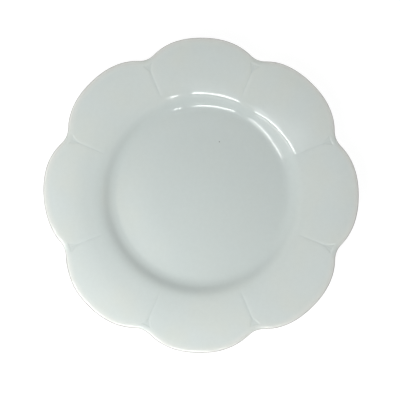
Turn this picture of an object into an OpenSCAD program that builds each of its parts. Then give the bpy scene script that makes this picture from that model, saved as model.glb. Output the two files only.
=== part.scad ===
// Scalloped dessert plate in glazed porcelain.
// A flat round well with a coved wall, a gently rising rim pressed into petals with a fine
// groove between each pair, a rounded lip, and a bare foot ring under the edge of the well.
// Frame: +Z up, origin on the table under the middle of the plate. Millimetres.

/* [Plate] */
// Diameter over two opposite petal tips
plate_d = 210; // [204:1:220]
// Thickness of the ware at the well, glaze included
ware_t = 3.5; // [3.3:0.1:3.7]
// Height of the upper face of the well above the table
floor_z = 6.4; // [6:0.1:7.5]

/* [Well] */
// Radius of the flat floor of the well
floor_r = 58; // [56:0.1:59]
// Radius of the cove between floor and wall
cove_r = 6.5; // [5:0.1:7]
// Steepest angle of the wall, in degrees
wall_angle = 42; // [40:1:46]
// Radius of the rounded shoulder between wall and rim
shoulder_r = 12.5; // [10:0.1:12.5]
// Radius at which the shoulder runs out into the rim
shoulder_end_r = 71.5; // [71:0.1:73]

/* [Petal rim] */
// Number of petals round the rim
petals = 8; // [7:1:9]
// Upward slope of the rim, in degrees
rim_angle = 10; // [9:0.5:12]
// Radius of the arc that ends each petal
petal_arc_r = 52; // [50:0.5:54]
// Thickness of the rim at the petal tips
lip_t = 2.6; // [2.5:0.1:2.7]
// Radius of the rounding of the lip
lip_r = 1.7; // [1.7:0.05:1.9]
// Radius of the round-bottomed groove between two petals
groove_r = 1.2; // [1:0.05:1.5]
// Depth of the groove between two petals
groove_depth = 0.2; // [0.16:0.02:0.2]

/* [Foot ring and glaze] */
// Width of the foot ring's standing face
foot_w = 2.6; // [2.2:0.1:3.4]
// Sideways taper of the foot ring on each face, from table to body
foot_taper = 1.2; // [0.8:0.1:1.6]
// Rounding of the foot ring's two standing edges
foot_edge = 0.5; // [0.3:0.1:0.7]
// Thickness of the glaze
glaze_t = 0.3; // [0.26:0.02:0.34]
// Height above the table at which the glaze was wiped off the foot
glaze_line_z = 1.1; // [0.9:0.1:1.6]

/* [Hidden] */
$fn = 96;

biscuit_color = "#e9e6df";
glaze_color = "#d3dbd7";

arc_steps = 5;
plate_r = plate_d / 2;
petal_off = plate_r - petal_arc_r; // distance of a petal's arc centre from the axis
half_petal = 180 / petals;

// Cove: centre above the floor's edge. Wall: straight. Shoulder: centre below the rim.
wall_run = shoulder_end_r - floor_r - cove_r * sin(wall_angle)
         - shoulder_r * (sin(wall_angle) - sin(rim_angle));
wall_foot_z = floor_z + cove_r * (1 - cos(wall_angle));
wall_top_z = wall_foot_z + wall_run * tan(wall_angle);
shoulder_end_z = wall_top_z + shoulder_r * (cos(rim_angle) - cos(wall_angle));
shoulder_c = [shoulder_end_r + shoulder_r * sin(rim_angle),
              shoulder_end_z - shoulder_r * cos(rim_angle)];
rim_reach = plate_r + 4; // the turned rim runs past the lip, which trims it
rim_taper = (ware_t - lip_t) * (rim_reach - shoulder_end_r) / (plate_r - shoulder_end_r);

function rim_z(r) = shoulder_end_z + (r - shoulder_end_r) * tan(rim_angle);

// Face of the ware sunk by e along its normal, from the axis outwards, thinned by t at its end
function face_line(e, t) = concat(
    [[0, floor_z - e]],
    [for (i = [0 : arc_steps]) let (a = wall_angle * i / arc_steps)
        [floor_r + (cove_r + e) * sin(a), floor_z + cove_r - (cove_r + e) * cos(a)]],
    [for (i = [0 : arc_steps]) let (a = wall_angle + (rim_angle - wall_angle) * i / arc_steps)
        [shoulder_c[0] - (shoulder_r - e) * sin(a), shoulder_c[1] + (shoulder_r - e) * cos(a)]],
    [[rim_reach, rim_z(rim_reach) - (e - t) / cos(rim_angle)]]);

function reversed(v) = [for (i = [len(v) - 1 : -1 : 0]) v[i]];
function beyond(v, r) = [for (p = v) if (p[0] > r) p];

body_top = face_line(glaze_t, 0);                   // under the glaze of the face
body_under = face_line(ware_t - glaze_t, rim_taper); // over the glaze of the underside

under_z = floor_z - ware_t;         // underside of the glazed floor
seat_z = under_z + glaze_t;         // underside of the bare body, where the foot ring joins
foot_top_out = floor_r - 0.2;       // the foot ring joins the flat of the floor
foot_out_r = foot_top_out - foot_taper;
foot_in_r = foot_out_r - foot_w;
foot_top_in = foot_in_r - foot_taper;
function foot_side_out(z) = foot_out_r + foot_taper * z / seat_z;
function foot_side_in(z) = foot_in_r - foot_taper * z / seat_z;

// Lip: each petal ends in a lens with a round edge, tipped to follow the middle of the rim
function mid_z(r) = rim_z(r) - (ware_t - rim_taper * (r - shoulder_end_r)
                                         / (rim_reach - shoulder_end_r)) / 2 / cos(rim_angle);
tip_r = plate_r - lip_r;
notch_r = petal_off * cos(half_petal) - lip_r
        + sqrt(pow(petal_arc_r, 2) - pow(petal_off * sin(half_petal), 2));
lip_tilt = atan((mid_z(tip_r) - mid_z(notch_r)) / (tip_r - notch_r * cos(half_petal)));
lip_z = mid_z(tip_r) + lip_r * sin(lip_tilt);

module petal_lens() {
    c = petal_arc_r - lip_r;
    edge_h = 0.9 * lip_r;
    mid_h = edge_h + c / 4;
    translate([plate_r - petal_arc_r * cos(lip_tilt), 0, lip_z - petal_arc_r * sin(lip_tilt)])
        rotate([0, -lip_tilt, 0])
            rotate_extrude() {
                polygon([[0, -mid_h], [c, -edge_h], [c, edge_h], [0, mid_h]]);
                translate([c, 0]) circle(r = lip_r);
            }
}

// The flower, rounded at its lip: a round middle and one lens for each petal
module flower() {
    translate([0, 0, -20]) cylinder(r = plate_r * 0.72, h = 60);
    for (k = [0 : petals - 1]) rotate([0, 0, 2 * half_petal * k]) petal_lens();
}

// Round-bottomed grooves along the rim between petals, each ending short of the lip at the notch
module grooves() {
    for (k = [0 : petals - 1]) rotate([0, 0, half_petal * (2 * k + 1)])
        translate([shoulder_end_r, 0, shoulder_end_z])
            rotate([0, -rim_angle, 0])
                translate([1.5, 0, groove_r - groove_depth])
                    rotate([0, 90, 0]) cylinder(r = groove_r, h = plate_r * 0.88 - shoulder_end_r);
}

// Bare fired body: well, wall and petal rim in one
module plate_body() {
    color(biscuit_color)
        intersection() {
            rotate_extrude()
                polygon(concat(body_top, reversed(beyond(body_under, 0)), [[0, seat_z]]));
            flower();
        }
}

// Bare ring that the plate stands on, under the edge of the well
module foot_ring() {
    color(biscuit_color)
        rotate_extrude()
            polygon([[foot_in_r + foot_edge, 0], [foot_out_r - foot_edge, 0],
                     [foot_out_r - foot_edge * 0.3, foot_edge * 0.3],
                     [foot_side_out(foot_edge), foot_edge],
                     [foot_top_out, seat_z], [foot_top_in, seat_z],
                     [foot_side_in(foot_edge), foot_edge],
                     [foot_in_r + foot_edge * 0.3, foot_edge * 0.3]]);
}

// Glaze over the well, the wall and the rim, drawn off the lip
module face_glaze() {
    color(glaze_color)
        intersection() {
            difference() {
                rotate_extrude() polygon(concat(face_line(0, 0), reversed(body_top)));
                grooves();
            }
            flower();
        }
}

// Glaze over the underside, down the outside of the foot
module under_glaze() {
    color(glaze_color)
        intersection() {
            rotate_extrude()
                polygon(concat(
                    [[foot_side_out(glaze_line_z), glaze_line_z], [foot_top_out, seat_z]],
                    beyond(body_under, foot_top_out),
                    reversed(beyond(face_line(ware_t, rim_taper), floor_r + 0.4)),
                    [[floor_r + 0.4, under_z],
                     [foot_side_out(under_z) + glaze_t, under_z],
                     [foot_side_out(glaze_line_z) + glaze_t, glaze_line_z]]));
            flower();
        }
}

// Glaze inside the foot ring, on the underside of the well and down the inside of the foot
module base_glaze() {
    color(glaze_color)
        rotate_extrude()
            polygon([[0, under_z], [foot_side_in(under_z) - glaze_t, under_z],
                     [foot_side_in(glaze_line_z) - glaze_t, glaze_line_z],
                     [foot_side_in(glaze_line_z), glaze_line_z],
                     [foot_top_in, seat_z], [0, seat_z]]);
}

plate_body();
foot_ring();
face_glaze();
under_glaze();
base_glaze();
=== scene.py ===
"""Scalloped dessert plate in glazed porcelain, on a plain pale floor under soft window light."""
import math

import bpy
import numpy as np
from mathutils import Matrix, Vector


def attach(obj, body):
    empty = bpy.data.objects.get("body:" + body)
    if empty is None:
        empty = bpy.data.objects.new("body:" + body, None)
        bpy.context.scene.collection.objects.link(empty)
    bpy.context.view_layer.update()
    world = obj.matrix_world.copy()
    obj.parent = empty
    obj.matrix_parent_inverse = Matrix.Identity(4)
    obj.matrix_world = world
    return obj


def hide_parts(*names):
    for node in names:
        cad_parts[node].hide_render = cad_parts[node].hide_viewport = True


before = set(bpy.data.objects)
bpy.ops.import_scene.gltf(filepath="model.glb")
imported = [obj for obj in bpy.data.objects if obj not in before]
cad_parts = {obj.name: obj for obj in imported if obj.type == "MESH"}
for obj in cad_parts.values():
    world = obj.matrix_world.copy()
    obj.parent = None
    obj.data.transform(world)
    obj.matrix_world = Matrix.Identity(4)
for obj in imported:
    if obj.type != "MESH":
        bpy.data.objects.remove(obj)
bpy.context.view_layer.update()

MM = 0.001

# ---------------------------------------------------------------- sizes, in millimetres
PETALS = 8
TIP_R = 105.0                      # radius to a petal tip
FLOOR_Z, FLOOR_R = 6.4, 58.45       # flat of the well
COVE_R, WALL_DEG = 7.0, 38.5       # cove and steepest slope of the wall
SHOULDER_R, SHOULDER_C = 12.5, 73.1
RIM_R = (69.2, 71.1, 74.7, 85.0, 98.0)
RIM_DEG = (18.0, 15.2, 13.8, 11.3, 6.8)  # slope of the rim at those radii, from the shoulder out to the lip
WARE_T, LIP_T = 3.5, 2.6           # thickness at the well and at the lip
ROLL_W = 5.0                       # width of the rolled lip, seen from above
UNDER_W = 2.2                      # width of the rounding under the lip
SEAT_Z = 3.2                       # underside of the body, where the foot ring joins
UNDER_Z = 2.9                      # underside of the glazed floor
FOOT_OUT, FOOT_IN, FOOT_TAPER, FOOT_EDGE = 56.6, 54.0, 1.2, 0.55
GLAZE_T, LINE_Z = 0.3, 1.1         # glaze thickness, height of the wiped line on the foot


def smooth(a, b, x):
    t = np.clip((np.asarray(x, float) - a) / (b - a), 0.0, 1.0)
    return t * t * (3.0 - 2.0 * t)


def outline(a):
    """Radius of the petal outline at a degrees off the middle of a petal."""
    a = np.abs((np.asarray(a, float) + 22.5) % 45.0 - 22.5)
    own = TIP_R - 6.56 * (a / 20.0) ** 2.55
    other = TIP_R - 6.56 * ((45.0 - a) / 20.0) ** 2.55
    h = np.clip(6.7 - (own - other), 0.0, None) / 6.7
    return own + h * h * 6.7 / 4.0


# ---------------------------------------------------------------- turned section
STEP = 0.05
rs = np.arange(0.0, 118.0, STEP)
wall = math.radians(WALL_DEG)
rim = np.radians(np.interp(rs, RIM_R, RIM_DEG))
cove = np.arcsin(np.clip((rs - FLOOR_R) / COVE_R, 0.0, math.sin(wall)))
shoulder = np.arcsin(np.clip((SHOULDER_C - rs) / SHOULDER_R, -1.0, 1.0))
phi = np.minimum(cove, np.maximum(shoulder, rim))


def eased_out(v, width):
    """Values along the section, softened over a width."""
    kernel = np.exp(-0.5 * (np.arange(-120, 121) * STEP / width) ** 2)
    return np.convolve(np.pad(v, 120, mode="edge"), kernel / kernel.sum(), mode="valid")


blend = smooth(60.5, 63.5, rs)      # the cove starts softly, the shoulder is a little crisper
phi = (1.0 - blend) * eased_out(phi, 2.2) + blend * eased_out(phi, 0.7)
phi = phi + np.radians(2.0) * smooth(54.5, 57.5, rs) * smooth(62.5, 59.5, rs)
zs = FLOOR_Z + np.concatenate([[0.0], np.cumsum((np.tan(phi[1:]) + np.tan(phi[:-1])) * STEP / 2)])
ts = np.interp(rs, [71.5, TIP_R], [WARE_T, LIP_T])
under_r, under_z = rs + ts * np.sin(phi), zs - ts * np.cos(phi)


def face_z(r):
    return np.interp(r, rs, zs)


def back_z(r):
    return np.interp(r, under_r, under_z)


# ---------------------------------------------------------------- columns of the petal mesh
petal = np.concatenate([np.linspace(-22.5, -19.8, 22)[1:], np.linspace(-19.8, 20.0, 32)[1:],
                        np.linspace(20.0, 22.5, 21)[1:]])
NP = len(petal)
GROOVE_OFF = 0.4                    # degrees by which the grooves lie off the notches
tip = outline(petal)
rad = np.radians(petal)

# distance in from the outline, along each column
ol = np.arange(-40.0, 85.0, 0.05)
olx, oly = outline(ol) * np.cos(np.radians(ol)), outline(ol) * np.sin(np.radians(ol))
depth_in = np.linspace(0.0, 20.0, 401)
u_tab = np.zeros((NP, len(depth_in)))
for j in range(NP):
    rr = tip[j] - depth_in
    px, py = rr * math.cos(rad[j]), rr * math.sin(rad[j])
    u_tab[j] = np.sqrt(((px[:, None] - olx) ** 2 + (py[:, None] - oly) ** 2).min(axis=1))
    u_tab[j, 0] = 0.0


def radius_at(u):
    """Radius on each column at the distance u in from the outline."""
    return np.array([tip[j] - np.interp(u, u_tab[j], depth_in) for j in range(NP)])


def inset(r):
    """Distance in from the outline at radius r of each column."""
    return np.array([np.interp(tip[j] - r[j], depth_in, u_tab[j]) if tip[j] - r[j] < 20.0
                     else u_tab[j, -1] + tip[j] - r[j] - 20.0 for j in range(NP)])


off_groove = np.minimum(np.abs(np.sin(np.radians(22.5 + GROOVE_OFF) - rad)),     # times the radius:
                        np.abs(np.sin(np.radians(-22.5 + GROOVE_OFF) - rad)))    # distance off the groove line
pinch = np.exp(-((22.5 - np.abs(petal)) / 3.2) ** 2)  # 1 at the notch, 0 along the petal
steep = 1.0 + 0.22 * pinch                            # the lip drops further at the notch


def press(r, u):
    """Depth of the pressed groove, and of the three-sided dent it ends in, below the face, and the darkening along
    them: pooled glaze and painted shade.
    """
    a = r * off_groove
    b = u - 3.95
    fade = smooth(68.8, 75.5, r) * smooth(-0.8, 0.2, b)
    line = 0.15 * np.exp(-(a / 1.4) ** 2) + 0.05 * np.exp(-(a / 0.5) ** 2)
    w = 3.3 * np.clip(1.0 - b / 7.5, 0.0, 1.0) ** 1.5
    edge = np.minimum(0.7, 0.6 * w + 0.05)
    dent = (1.0 - smooth(w - edge, w + edge, a)) * smooth(0.0, 0.6, w)
    deep = (line ** 3 + (0.22 * dent) ** 3) ** (1.0 / 3.0)
    # painted shade, partly pooled glaze: a dark line down the groove and a darker dent floor
    groove_pool_and_shade = 0.40 * np.exp(-(a / 0.38) ** 2) * smooth(68.5, 74.5, r) * smooth(0.5, 2.5, b)
    return deep * fade, groove_pool_and_shade + 0.30 * dent * dent * fade


# the lip's upper face: its slope in degrees at distances in from the outline
LIP_U = (0.0, 0.15, 0.3, 0.48, 0.7, 1.0, 1.4, 1.9, 2.6, 3.5, ROLL_W)
LIP_DEG = (52.0, 50.0, 46.0, 38.0, 29.0, 22.0, 15.0, 9.5, 5.0, 2.0, 0.0)
turn_u = np.linspace(ROLL_W, 0.0, 1001)
turn_s = np.tan(np.radians(np.interp(turn_u, LIP_U, LIP_DEG)))
turn_z = np.concatenate([[0.0], np.cumsum(turn_s[1:] + turn_s[:-1])]) * ROLL_W / 2000.0


def lip_drop(u):
    return steep * np.interp(u, turn_u[::-1], turn_z[::-1])


rings = []          # (radius, height, glaze pooling with painted light and shade, and nearness to the very edge, per column)


def face_ring(r, u=None):
    r = np.broadcast_to(np.asarray(r, float), petal.shape).copy()
    u = inset(r) if u is None else np.full(petal.shape, float(u))
    d, groove_pool_and_shade = press(r, u)
    z = face_z(r) - lip_drop(u) - d
    # glaze pooled darker in the well and over the inner rim; the narrow band at the shoulder is painted shade
    pool_and_painted_light = 0.55 * smooth(72.0, 60.0, r) + 0.28 * smooth(100.0, 74.0, r) + 0.15 * np.exp(-((r - 70.5) / 2.5) ** 2)
    # plus the groove's painted shade; the lip paler towards the edge: thinner glaze there, and partly painted light
    pool_and_painted_light = pool_and_painted_light + groove_pool_and_shade - 0.5 * smooth(5.5, 0.5, u) * (1.0 - 0.8 * pinch)
    pool_and_painted_light = pool_and_painted_light - 0.4 * smooth(2.0, 0.8, u) * (1.0 - 0.7 * pinch)
    # painted shade: a dark line along the very edge
    pool_and_painted_light = pool_and_painted_light - (1.5 + pool_and_painted_light) * smooth(0.48, 0.28, u)
    rings.append((r, z, pool_and_painted_light, smooth(0.85, 0.6, u)))


for r in (5.0, 10.0, 16.0, 23.0, 30.0, 37.0, 43.0, 48.5, 52.5, 55.0, 56.4):
    face_ring(r)
for r in np.arange(57.2, 72.01, 0.5):
    face_ring(r)
inner = radius_at(10.8)
for s in np.linspace(0.0, 1.0, 11)[1:-1]:
    face_ring(72.0 + s * (inner - 72.0))
for u in np.linspace(10.8, ROLL_W, 15):
    face_ring(radius_at(u), u)
for al in np.radians(np.linspace(0.0, 90.0, 25)[1:]):
    u = ROLL_W * (1.0 - math.sin(al))
    face_ring(radius_at(u), u)
edge_z = face_z(tip) - lip_drop(0.0)
under_d = edge_z - back_z(tip)
for al in np.radians(np.linspace(90.0, 180.0, 9)[1:]):
    u = UNDER_W * (1.0 - math.sin(al))
    r = radius_at(u)
    lift = under_d * (1.0 + math.cos(al))
    # under the lip the painted dark edge line runs on, then paler thin glaze
    rings.append((r, back_z(r) + lift, np.full(petal.shape, -1.5 + 1.2 * float(smooth(0.05, 0.4, u))),
                  np.zeros(petal.shape)))
outer = radius_at(UNDER_W)
for s in np.linspace(1.0, 0.0, 11)[1:]:
    r = 76.0 + s * (outer - 76.0)
    rings.append((r, back_z(r), np.full(petal.shape, -0.1), np.zeros(petal.shape)))


# ---------------------------------------------------------------- underside, foot and wiped line
def foot_out(z):
    return FOOT_OUT + FOOT_TAPER * z / SEAT_Z


def foot_in(z):
    return FOOT_IN - FOOT_TAPER * z / SEAT_Z


def bezier(p, q, s, n):
    """Points of a quadratic curve from p to s with its corner at q."""
    t = np.linspace(0.0, 1.0, n)[:, None]
    p, q, s = (np.array(v, float) for v in (p, q, s))
    return (1 - t) ** 2 * p + 2 * t * (1 - t) * q + t * t * s


lathe = [(r, float(back_z(r))) for r in np.arange(75.0, 61.2, -0.9)]
corner = (foot_out(UNDER_Z) + GLAZE_T, UNDER_Z)
low = (foot_out(LINE_Z + 0.6) + GLAZE_T * 0.95, LINE_Z + 0.6)
lathe += [tuple(p) for p in bezier((61.0, float(back_z(61.0))), corner, low, 9)]
bead = [(foot_out(LINE_Z + 0.3) + GLAZE_T * 1.05, LINE_Z + 0.3),
        (foot_out(LINE_Z + 0.1) + GLAZE_T * 0.95, LINE_Z + 0.1),
        (foot_out(LINE_Z) + GLAZE_T * 0.6, LINE_Z - 0.02),
        (foot_out(LINE_Z) + GLAZE_T * 0.15, LINE_Z),
        (foot_out(LINE_Z) - 0.06, LINE_Z + 0.05)]
hidden = [(foot_out(2.2) - 0.06, 2.2), (foot_out(SEAT_Z) - 0.06, SEAT_Z), (30.0, SEAT_Z), (12.0, SEAT_Z)]


def wobble(th):
    """Unevenness of the wiped glaze line round the foot."""
    return 0.09 * np.sin(3 * th + 0.7) + 0.06 * np.sin(7 * th + 2.1) + 0.035 * np.sin(17 * th + 0.3)


# ---------------------------------------------------------------- meshes
def finish_mesh(name, verts, faces, pool_and_painted_light=None):
    me = bpy.data.meshes.new(name)
    me.from_pydata([tuple(v) for v in verts], [], faces)
    me.validate()
    me.polygons.foreach_set("use_smooth", [True] * len(me.polygons))
    if pool_and_painted_light is not None:
        at = me.attributes.new("pool_and_painted_light", "FLOAT", "POINT")
        at.data.foreach_set("value", np.asarray(pool_and_painted_light, np.float32))
    me.update()
    ob = bpy.data.objects.new(name, me)
    bpy.context.scene.collection.objects.link(ob)
    return ob


def skin(loops, cap_a, cap_b):
    """Quads between successive closed loops of equal length, with a fan to a pole at either end."""
    n = len(loops[0])
    verts = [p for loop in loops for p in loop]
    faces = []
    for i in range(len(loops) - 1):
        a, b = i * n, (i + 1) * n
        for j in range(n):
            k = (j + 1) % n
            faces.append((a + j, b + j, b + k, a + k))
    if cap_a is not None:
        c = len(verts)
        verts.append(cap_a)
        faces += [(c, j, (j + 1) % n) for j in range(n)]
    if cap_b is not None:
        c = len(verts)
        verts.append(cap_b)
        base = (len(loops) - 1) * n
        faces += [(c, base + (j + 1) % n, base + j) for j in range(n)]
    return verts, faces


# glazed ware: every column of every petal, face first, then the lip and the underside
col_a = np.radians(np.concatenate([45.0 * k + petal for k in range(PETALS)]))
col_j = np.tile(np.arange(NP), PETALS)
ca, sa, wob = np.cos(col_a), np.sin(col_a), wobble(col_a)
# the petals aren't quite even: the lip stands further out or in around some azimuths (degrees, width, mm)
UNEVEN = ((61.0, 6.0, 0.4), (112.0, 6.0, -0.4), (168.0, 6.0, 0.3), (189.0, 9.0, -0.9), (211.0, 5.0, -0.5),
          (288.0, 10.0, -0.35), (338.0, 14.0, 0.33))
out_by = sum(mm * np.exp(-(((np.degrees(col_a) - az + 180.0) % 360.0 - 180.0) / w) ** 2) for az, w, mm in UNEVEN)

loops, pools_and_painted_light = [], []
painted_edge_shade = 0.26 * smooth(0.74, 0.98, np.cos(col_a - math.radians(225.0)))    # painted shade: the edge line darker on the window's side
painted_light_well = np.exp(-((np.degrees(col_a) % 360.0 - 205.0) / 45.0) ** 2)     # painted light: the well paler on the window's side,
painted_shade_shoulder = np.exp(-((np.degrees(col_a) % 360.0 - 188.0) / 40.0) ** 2)    # and painted shade: the shoulder darker beside it
far = np.exp(-((np.degrees(col_a) % 360.0 - 85.0) / 42.0) ** 2)       # painted shade on the far wall and painted light on the floor before it,
painted_light_wall = np.exp(-((np.degrees(col_a) % 360.0 - 203.0) / 35.0) ** 2)   # and painted light: the wall paler across from there
for r, z, p, e in rings:
    at = r[col_j] + out_by * smooth(76.0, 96.0, r[col_j])
    loops.append(np.stack([at * ca, at * sa, z[col_j]], -1) * MM)
    well = smooth(26.0, 50.0, r[col_j]) * smooth(59.0, 56.5, r[col_j])
    over = smooth(65.0, 70.0, r[col_j]) * smooth(88.0, 76.0, r[col_j]) * (z[col_j] > 9.0)
    side = smooth(58.0, 60.5, r[col_j]) * smooth(68.0, 66.0, r[col_j]) * (z[col_j] > face_z(r[col_j]) - 1.0)
    flat = smooth(40.0, 46.0, r[col_j]) * smooth(57.0, 53.5, r[col_j])
    pools_and_painted_light.append(p[col_j] - painted_edge_shade * e[col_j] - 0.5 * painted_light_well * well + 0.35 * painted_shade_shoulder * over
                 + (0.38 * far - 0.30 * painted_light_wall) * side - 0.26 * far * flat)
for r, z in lathe:
    loops.append(np.stack([r * ca, r * sa, np.full_like(ca, z)], -1) * MM)
    pools_and_painted_light.append(np.full_like(ca, 0.35 * float(smooth(66.0, 58.5, r))))
for r, z in bead:
    loops.append(np.stack([r * ca, r * sa, z + wob], -1) * MM)
    pools_and_painted_light.append(np.full_like(ca, 0.1))
for r, z in hidden:
    loops.append(np.stack([r * ca, r * sa, np.full_like(ca, z)], -1) * MM)
    pools_and_painted_light.append(np.zeros_like(ca))
verts, faces = skin(loops, (0.0, 0.0, FLOOR_Z * MM), (0.0, 0.0, SEAT_Z * MM))
pool_and_painted_light = np.concatenate(pools_and_painted_light + [[0.8], [0.0]])
glazed_ware = finish_mesh("glazed_ware", verts, faces, pool_and_painted_light)


def lathe_piece(name, prof, n, pole_a=None, pole_b=None, lines=None):
    th = np.arange(n) * 2 * math.pi / n
    c, s = np.cos(th), np.sin(th)
    out = []
    for i, (r, z) in enumerate(prof):
        w = wobble(th + 1.3) if lines and i in lines else 0.0
        out.append(np.stack([r * c, r * s, np.full(n, z) + w], -1) * MM)
    v, f = skin(out, pole_a, pole_b)
    if pole_a is None and pole_b is None:            # closed section: join the last loop to the first
        a, b = (len(out) - 1) * n, 0
        f += [(a + j, b + j, b + (j + 1) % n, a + (j + 1) % n) for j in range(n)]
    return finish_mesh(name, v, f)


# foot ring: tapered sides and worn round edges
def arc(cx, cz, rad_, a0, a1, n):
    return [(cx + rad_ * math.cos(math.radians(a)), cz + rad_ * math.sin(math.radians(a)))
            for a in np.linspace(a0, a1, n)]


side = math.degrees(math.atan2(FOOT_TAPER, SEAT_Z))
prof = [(foot_in(SEAT_Z), SEAT_Z - 0.01)]
prof += [(foot_in(z), z) for z in (2.4, 1.6, 1.0, 0.7)]
prof += arc(FOOT_IN + FOOT_EDGE * 1.0, FOOT_EDGE, FOOT_EDGE * 1.12, 180.0 + side, 258.0, 6)
prof += [(FOOT_IN + 0.95, 0.012), (0.5 * (FOOT_IN + FOOT_OUT), 0.0), (FOOT_OUT - 0.95, 0.012)]
prof += arc(FOOT_OUT - FOOT_EDGE * 1.0, FOOT_EDGE, FOOT_EDGE * 1.12, 282.0, 360.0 - side, 6)
prof += [(foot_out(z), z) for z in (0.7, 1.0, 1.6, 2.4)]
prof += [(foot_out(SEAT_Z), SEAT_Z - 0.01)]
prof = [(r, max(z, 0.0)) for r, z in prof]
foot = lathe_piece("foot_ring_bare", prof, 288)

# glaze inside the foot ring, filleted into it and wiped back from the standing face
inner_corner = (foot_in(UNDER_Z) - GLAZE_T, UNDER_Z)
inner_low = (foot_in(LINE_Z + 0.6) - GLAZE_T * 0.95, LINE_Z + 0.6)
prof = [(r, UNDER_Z + 0.05 * math.cos(min(r / 46.0, 1.0) * math.pi / 2)) for r in (8.0, 18.0, 28.0, 37.0, 43.0, 47.0)]
prof += [tuple(p) for p in bezier((48.5, UNDER_Z), inner_corner, inner_low, 10)]
first = len(prof)
prof += [(foot_in(LINE_Z + 0.3) - GLAZE_T * 1.05, LINE_Z + 0.3),
         (foot_in(LINE_Z + 0.1) - GLAZE_T * 0.95, LINE_Z + 0.1),
         (foot_in(LINE_Z) - GLAZE_T * 0.6, LINE_Z - 0.02),
         (foot_in(LINE_Z) - GLAZE_T * 0.15, LINE_Z),
         (foot_in(LINE_Z) + 0.06, LINE_Z + 0.05)]
last = len(prof)
prof += [(foot_in(2.2) + 0.06, 2.2), (foot_in(SEAT_Z) + 0.06, SEAT_Z - 0.01), (30.0, SEAT_Z - 0.01), (12.0, SEAT_Z - 0.01)]
prof = prof[::-1]
n_p = len(prof)
base = lathe_piece("base_glaze_field", prof, 288, (0.0, 0.0, (SEAT_Z - 0.01) * MM), (0.0, 0.0, (UNDER_Z + 0.05) * MM),
                   lines=set(range(n_p - last, n_p - first)))


# ---------------------------------------------------------------- materials
def material(name):
    m = bpy.data.materials.new(name)
    m.use_nodes = True
    nt = m.node_tree
    return m, nt, nt.nodes["Principled BSDF"]


def node(nt, kind, **kw):
    n = nt.nodes.new(kind)
    for k, v in kw.items():
        if k in n.inputs:
            n.inputs[k].default_value = v
        else:
            setattr(n, k, v)
    return n


def ramp(nt, src, stops):
    n = nt.nodes.new("ShaderNodeValToRGB")
    while len(n.color_ramp.elements) < len(stops):
        n.color_ramp.elements.new(0.5)
    for e, (p, c) in zip(n.color_ramp.elements, stops):
        e.position = p
        e.color = (*c, 1.0)
    nt.links.new(src, n.inputs["Fac"])
    return n.outputs["Color"]


def mapped(nt, src, a, b, lo, hi):
    n = nt.nodes.new("ShaderNodeMapRange")
    n.inputs["From Min"].default_value, n.inputs["From Max"].default_value = a, b
    n.inputs["To Min"].default_value, n.inputs["To Max"].default_value = lo, hi
    nt.links.new(src, n.inputs["Value"])
    return n.outputs["Result"]


def mix_rgb(nt, fac, a, b, mode="MIX"):
    n = nt.nodes.new("ShaderNodeMix")
    n.data_type, n.blend_type = "RGBA", mode
    for sock, v in ((n.inputs["Factor"], fac), (n.inputs[6], a), (n.inputs[7], b)):
        if isinstance(v, bpy.types.NodeSocket):
            nt.links.new(v, sock)
        else:
            sock.default_value = v if not isinstance(v, tuple) else (*v, 1.0)
    return n.outputs[2]


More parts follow.
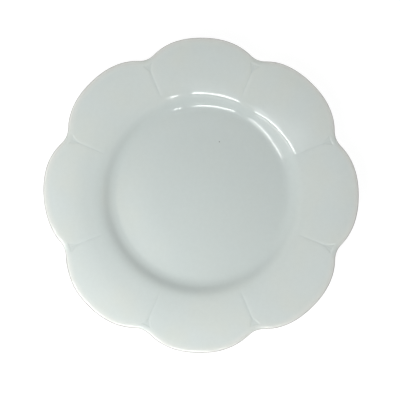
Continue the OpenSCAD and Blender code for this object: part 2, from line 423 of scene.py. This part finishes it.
def glaze_material(name, pooled_and_painted):
    m, nt, bsdf = material(name)
    L = nt.links.new
    at = node(nt, "ShaderNodeTexCoord").outputs["Object"]
    cloud = node(nt, "ShaderNodeTexNoise", Scale=26.0, Detail=3.0, Roughness=0.55)
    L(at, cloud.inputs["Vector"])
    fine = node(nt, "ShaderNodeTexNoise", Scale=420.0, Detail=2.0, Roughness=0.6)
    L(at, fine.inputs["Vector"])
    colour = ramp(nt, cloud.outputs["Fac"], [(0.30, (0.657, 0.710, 0.684)), (0.50, (0.667, 0.718, 0.692)),
                                           (0.70, (0.676, 0.725, 0.700))])
    drift = node(nt, "ShaderNodeTexNoise", Scale=44.0, Detail=1.0, Roughness=0.5)
    L(at, drift.inputs["Vector"])
    tone = ramp(nt, drift.outputs["Fac"], [(0.34, (0.978, 0.990, 1.0)), (0.50, (0.985, 0.990, 0.990)),
                                           (0.66, (0.996, 0.990, 0.972))])
    colour = mix_rgb(nt, 1.0, colour, tone, "MULTIPLY")
    if pooled_and_painted:
        p = node(nt, "ShaderNodeAttribute", attribute_name="pool_and_painted_light").outputs["Fac"]
        # pooled glaze, darker and greener; through this mix also the painted shade of grooves, dents, shoulder and
        # far wall
        colour = mix_rgb(nt, mapped(nt, p, 0.0, 1.0, 0.0, 1.0), colour, (0.574, 0.635, 0.618))
        # paler thin glaze, and painted light on the lip, well and wall
        colour = mix_rgb(nt, mapped(nt, p, 0.0, -0.5, 0.0, 1.0), colour, (0.725, 0.752, 0.715))
        colour = mix_rgb(nt, mapped(nt, p, -0.5, -0.9, 0.0, 1.0), colour, (0.80, 0.812, 0.778))
        # painted shade: the dark line along the very edge
        colour = mix_rgb(nt, mapped(nt, p, -0.95, -1.5, 0.0, 1.0), colour, (0.36, 0.352, 0.335))
    grain = mapped(nt, fine.outputs["Fac"], 0.35, 0.65, 0.0, 1.0)
    colour = mix_rgb(nt, grain, mix_rgb(nt, 1.0, colour, (0.985, 0.985, 0.985), "MULTIPLY"), colour)
    # sparse grains of iron in the body, blurred under the glaze
    cell = node(nt, "ShaderNodeTexVoronoi", Scale=70.0)
    L(at, cell.inputs["Vector"])
    near = mapped(nt, cell.outputs["Distance"], 0.010, 0.022, 1.0, 0.0)
    pick = node(nt, "ShaderNodeSeparateColor")
    L(cell.outputs["Color"], pick.inputs["Color"])
    rare = mapped(nt, pick.outputs["Red"], 0.93, 0.94, 0.0, 0.45)
    both = node(nt, "ShaderNodeMath", operation="MULTIPLY")
    L(near, both.inputs[0])
    L(rare, both.inputs[1])
    colour = mix_rgb(nt, both.outputs[0], colour, (0.30, 0.29, 0.25))
    if pooled_and_painted:                                        # one larger grain in the well
        gap = node(nt, "ShaderNodeVectorMath", operation="DISTANCE")
        L(at, gap.inputs[0])
        gap.inputs[1].default_value = (0.01235, 0.03630, FLOOR_Z * MM)
        spot = mapped(nt, gap.outputs["Value"], 0.00018, 0.00058, 0.85, 0.0)
        colour = mix_rgb(nt, spot, colour, (0.16, 0.17, 0.15))
    L(colour, bsdf.inputs["Base Color"])
    L(mapped(nt, fine.outputs["Fac"], 0.3, 0.7, 0.035, 0.065), bsdf.inputs["Roughness"])
    bsdf.inputs["IOR"].default_value = 1.5
    peel = node(nt, "ShaderNodeTexNoise", Scale=95.0, Detail=1.5, Roughness=0.4)
    L(at, peel.inputs["Vector"])
    b1 = node(nt, "ShaderNodeBump", Strength=0.06, Distance=0.0002)
    L(peel.outputs["Fac"], b1.inputs["Height"])
    b2 = node(nt, "ShaderNodeBump", Strength=0.05, Distance=0.00004)
    L(fine.outputs["Fac"], b2.inputs["Height"])
    L(b1.outputs["Normal"], b2.inputs["Normal"])
    L(b2.outputs["Normal"], bsdf.inputs["Normal"])
    return m


def biscuit_material(name):
    m, nt, bsdf = material(name)
    L = nt.links.new
    at = node(nt, "ShaderNodeTexCoord").outputs["Object"]
    grain = node(nt, "ShaderNodeTexNoise", Scale=1900.0, Detail=3.0, Roughness=0.65)
    L(at, grain.inputs["Vector"])
    stain = node(nt, "ShaderNodeTexNoise", Scale=60.0, Detail=4.0, Roughness=0.6)
    L(at, stain.inputs["Vector"])
    colour = ramp(nt, grain.outputs["Fac"], [(0.30, (0.60, 0.57, 0.52)), (0.50, (0.70, 0.67, 0.62)),
                                             (0.72, (0.76, 0.735, 0.69))])
    parts = node(nt, "ShaderNodeSeparateXYZ")
    L(at, parts.inputs[0])
    low = mapped(nt, parts.outputs["Z"], 0.0, 0.0005, 1.0, 0.0)
    scuff = node(nt, "ShaderNodeMath", operation="MULTIPLY")
    L(low, scuff.inputs[0])
    L(mapped(nt, stain.outputs["Fac"], 0.40, 0.70, 0.05, 0.55), scuff.inputs[1])
    colour = mix_rgb(nt, scuff.outputs[0], colour, (0.42, 0.41, 0.385))
    L(colour, bsdf.inputs["Base Color"])
    L(mapped(nt, grain.outputs["Fac"], 0.3, 0.7, 0.92, 0.72), bsdf.inputs["Roughness"])
    bsdf.inputs["IOR"].default_value = 1.45
    flat = node(nt, "ShaderNodeVectorMath", operation="MULTIPLY")
    L(at, flat.inputs[0])
    flat.inputs[1].default_value = (1.0, 1.0, 0.0)
    out = node(nt, "ShaderNodeVectorMath", operation="LENGTH")
    L(flat.outputs[0], out.inputs[0])
    turn = node(nt, "ShaderNodeMath", operation="MULTIPLY")
    L(out.outputs["Value"], turn.inputs[0])
    turn.inputs[1].default_value = 14000.0
    wave = node(nt, "ShaderNodeMath", operation="SINE")
    L(turn.outputs[0], wave.inputs[0])
    b1 = node(nt, "ShaderNodeBump", Strength=0.25, Distance=0.00003)
    L(wave.outputs[0], b1.inputs["Height"])
    b2 = node(nt, "ShaderNodeBump", Strength=0.5, Distance=0.00006)
    L(grain.outputs["Fac"], b2.inputs["Height"])
    L(b1.outputs["Normal"], b2.inputs["Normal"])
    L(b2.outputs["Normal"], bsdf.inputs["Normal"])
    return m


glazed_ware.data.materials.append(glaze_material("glaze_gloss", True))
base.data.materials.append(glaze_material("glaze_gloss_base", False))
foot.data.materials.append(biscuit_material("biscuit_bare"))

for ob, nodes, slot in ((glazed_ware, ("plate_body", "face_glaze", "under_glaze"), "glaze"),
                        (foot, ("foot_ring",), "biscuit"),
                        (base, ("base_glaze",), "glaze")):
    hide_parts(*nodes)
    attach(ob, "root")

# ---------------------------------------------------------------- floor
bpy.ops.mesh.primitive_circle_add(vertices=128, radius=4.0, fill_type="NGON", location=(0.0, 0.0, -0.00005))
floor = bpy.context.object
floor.name = "floor"
m, nt, bsdf = material("floor_pale")
bsdf.inputs["Base Color"].default_value = (0.30, 0.30, 0.30, 1.0)
bsdf.inputs["Roughness"].default_value = 0.9
bsdf.inputs["Specular IOR Level"].default_value = 0.1
bsdf.inputs["Emission Color"].default_value = (1.0, 1.0, 1.0, 1.0)
bsdf.inputs["Emission Strength"].default_value = 0.83
floor.data.materials.append(m)

# ---------------------------------------------------------------- camera, above and a little to the near side
CAM_H, CAM_NEAR, CAM_TILT = 520.0, 30.56, 3.0
roll = math.radians(0.56)
cam = bpy.data.objects.new("camera", bpy.data.cameras.new("camera"))
bpy.context.scene.collection.objects.link(cam)
cam.data.sensor_width = 36.0
cam.data.lens = 68.08
cam.data.clip_start, cam.data.clip_end = 0.01, 20.0
right, up = Vector((math.cos(roll), math.sin(roll), 0)), Vector((-math.sin(roll), math.cos(roll), 0))
cam.location = (right * -0.53 - up * CAM_NEAR + Vector((0, 0, CAM_H))) * MM
cam.rotation_euler = (math.radians(CAM_TILT), 0.0, roll)
bpy.context.scene.camera = cam

# ---------------------------------------------------------------- light
ROOM, CEILING = 0.292, 0.327          # radiance of the room all round, and what its ceiling adds by the window
scene = bpy.context.scene
scene.view_settings.view_transform = "Standard"
world = bpy.data.worlds.new("studio")
scene.world = world
world.use_nodes = True
back = world.node_tree.nodes["Background"]
back.inputs["Color"].default_value = (1.0, 1.0, 1.0, 1.0)
wt = world.node_tree
there = node(wt, "ShaderNodeTexCoord").outputs["Generated"]
side_on = node(wt, "ShaderNodeVectorMath", operation="DOT_PRODUCT")
wt.links.new(there, side_on.inputs[0])
side_on.inputs[1].default_value = (math.cos(math.radians(225)), math.sin(math.radians(225)), 0.0)
up_on = node(wt, "ShaderNodeSeparateXYZ")
wt.links.new(there, up_on.inputs[0])


def eased(src, a, b, lo, hi):
    n = mapped(wt, src, a, b, lo, hi).node
    n.interpolation_type = "SMOOTHSTEP"
    return n.outputs["Result"]


ceiling = node(wt, "ShaderNodeMath", operation="MULTIPLY")        # the ceiling is brighter on the window's side
wt.links.new(eased(side_on.outputs["Value"], -0.16, 0.22, 0.0, CEILING), ceiling.inputs[0])
wt.links.new(eased(up_on.outputs["Z"], 0.2, 0.6, 0.0, 1.0), ceiling.inputs[1])
glow = node(wt, "ShaderNodeMath", operation="ADD")
wt.links.new(ceiling.outputs[0], glow.inputs[0])
glow.inputs[1].default_value = ROOM
wt.links.new(glow.outputs[0], back.inputs["Strength"])


def window(name, at, towards, size, radiance, glossy=True):
    """Soft rectangular light at a place, facing another, with the given radiance."""
    d = bpy.data.lights.new(name, "AREA")
    d.shape = "RECTANGLE"
    d.size, d.size_y = size
    d.energy = radiance * math.pi * size[0] * size[1]
    ob = bpy.data.objects.new(name, d)
    scene.collection.objects.link(ob)
    z = (Vector(at) - Vector(towards)).normalized()
    x = Vector((0, 0, 1)).cross(z).normalized()
    y = z.cross(x)
    ob.matrix_world = Matrix.Translation(at) @ Matrix((x, y, z)).transposed().to_4x4()
    ob.visible_camera = False
    ob.visible_glossy = glossy
    return ob


# bright panes, far off, that show only as reflections in the gloss
def pane(name, wall_deg, far, t0, t1, mid, high, radiance):
    """Upright pane on a wall that faces the plate from wall_deg, from t0 to t1 along it, far from the axis."""
    a = math.radians(wall_deg)
    n, t = Vector((math.cos(a), math.sin(a), 0)), Vector((-math.sin(a), math.cos(a), 0))
    c = n * far + t * far * (t0 + t1) / 2 + Vector((0, 0, mid))
    ob = window(name, c, c - n, (far * (t1 - t0), high), radiance)
    ob.visible_diffuse = False
    return ob


def on_wall(wall_deg, az):
    return math.tan(math.radians(az - wall_deg))


def pane_row(name, wall_deg, far, az0, az1, sill, head, radiance):
    """Pane between two azimuths, with its sill and head given as heights over the distance to the wall."""
    return pane(name, wall_deg, far, on_wall(wall_deg, az0), on_wall(wall_deg, az1),
                far * (sill + head) / 2, far * (head - sill), radiance)


pane_row("pane_left", 169.0, 2.2, 198.0, 234.7, 2.00, 2.43, 17.0)
pane_row("pane_left_low", 169.0, 2.2, 199.8, 233.0, 1.23, 1.48, 6.0)
pane_row("pane_near", 285.0, 3.0, 246.1, 276.0, 1.405, 2.00, 13.5)
pane_row("pane_near_low", 285.0, 3.0, 246.7, 275.8, 0.68, 0.94, 1.5)
pane_row("pane_slit", 285.0, 3.0, 284.8, 290.4, 1.40, 1.92, 13.0)
# paler wall and ceiling round the panes
pane_row("over_left", 169.0, 2.2, 198.7, 235.5, 2.48, 3.21, 2.6)
pane_row("over_left_high", 169.0, 2.2, 195.8, 234.9, 3.21, 4.77, 1.2)
pane_row("over_left_top", 169.0, 2.2, 191.6, 233.9, 4.77, 6.19, 0.4)
pane_row("glow_left", 215.0, 2.2, 213.6, 235.6, 1.34, 2.68, 1.6)
pane_row("over_near", 285.0, 3.0, 245.6, 276.8, 2.05, 2.63, 2.4)
pane_row("over_near_high", 285.0, 3.0, 245.0, 277.0, 2.63, 3.78, 0.8)
pane_row("under_left", 169.0, 2.2, 200.6, 234.2, 0.15, 1.16, 0.6)


def soft(name, az, el, far, size, radiance, glossy=True):
    """Square soft source that faces the plate from an azimuth, an elevation and a distance."""
    a, e = math.radians(az), math.radians(el)
    at = Vector((math.cos(a) * math.cos(e), math.sin(a) * math.cos(e), math.sin(e))) * far
    return window(name, at, (0, 0, 0.01), (size, size), radiance, glossy)


# soft sources close by on the same side, and weak fills low around the plate
soft("soft_high_left", 210.0, 62.0, 0.26, 0.16, 1.49, False)
soft("soft_high_near", 240.0, 62.0, 0.26, 0.16, 0.95, False)
soft("soft_near", 240.0, 40.0, 0.50, 0.30, 2.08, False)
soft("soft_low_near", 240.0, 38.0, 0.26, 0.16, 0.83, False)
soft("soft_low_left", 210.0, 28.0, 0.50, 0.30, 0.98, False)
soft("fill_far", 60.0, 18.0, 0.80, 0.45, 1.60, False)
soft("fill_right", 0.0, 18.0, 0.80, 0.45, 0.25, False)
